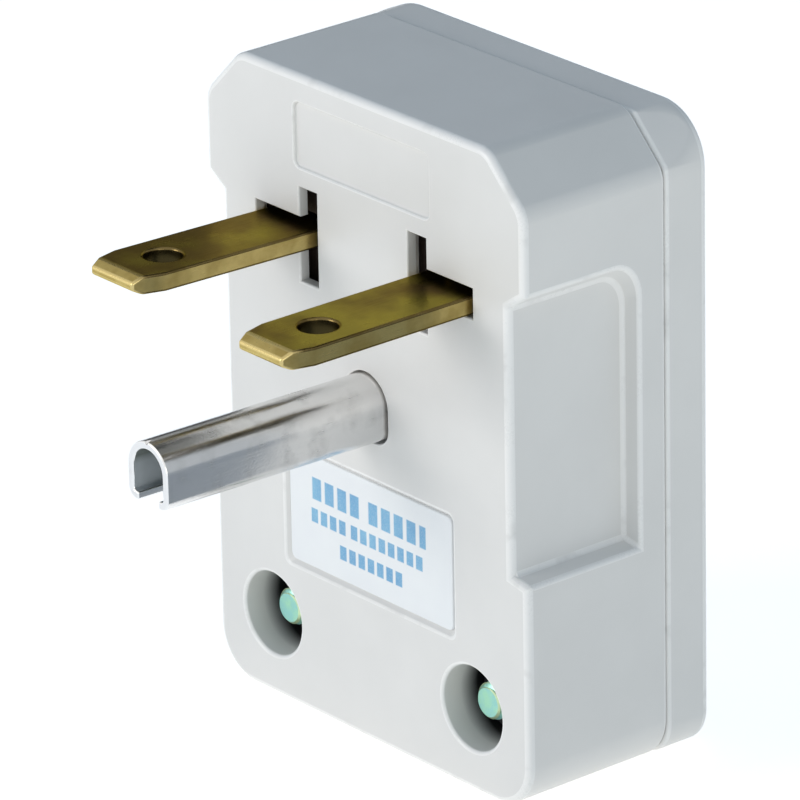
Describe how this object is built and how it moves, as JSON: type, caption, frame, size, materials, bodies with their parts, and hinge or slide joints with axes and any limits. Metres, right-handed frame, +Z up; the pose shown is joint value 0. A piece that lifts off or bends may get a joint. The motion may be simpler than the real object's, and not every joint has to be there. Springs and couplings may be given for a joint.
{
  "type": "electrical plug",
  "caption": "Right-angle rewirable mains plug with flat brass blades in T-shaped slots, a folded earth pin, a white moulded housing with finger grips and a cord inlet below.",
  "frame": {"origin": "on the flat front face of the housing, midway between the two blades", "axes": "+X to the right as seen from the front, +Y from the front face into the body, +Z up from the cord inlet towards the blades"},
  "size_m": [0.037, 0.039, 0.0522],
  "materials": {
    "white_plastic": "satin",
    "brown_resin": "matt",
    "brass": "satin",
    "nickel": "bright nickel plate",
    "green_zinc": "green passivated zinc",
    "bright_zinc": "bright zinc",
    "pale_paper": "satin"
  },
  "bodies": {
    "root": {"front_housing": "white_plastic", "rear_cover": "white_plastic", "terminal_carrier": "brown_resin", "blade_left": "brass", "blade_right": "brass", "earth_pin": "nickel", "nut_plate_left": "brass", "nut_plate_right": "brass", "nut_plate_earth": "brass", "wire_clamp_left": "bright_zinc", "wire_clamp_right": "bright_zinc", "wire_clamp_earth": "bright_zinc", "terminal_screw_left": "nickel", "terminal_screw_right": "nickel", "terminal_screw_earth": "nickel", "cover_screw_left": "green_zinc", "cover_screw_right": "green_zinc", "cover_nut_left": "bright_zinc", "cover_nut_right": "bright_zinc", "cord_saddle": "bright_zinc", "saddle_screw_left": "bright_zinc", "saddle_screw_right": "bright_zinc", "rating_label": "pale_paper"}
  },
  "joints": []
}
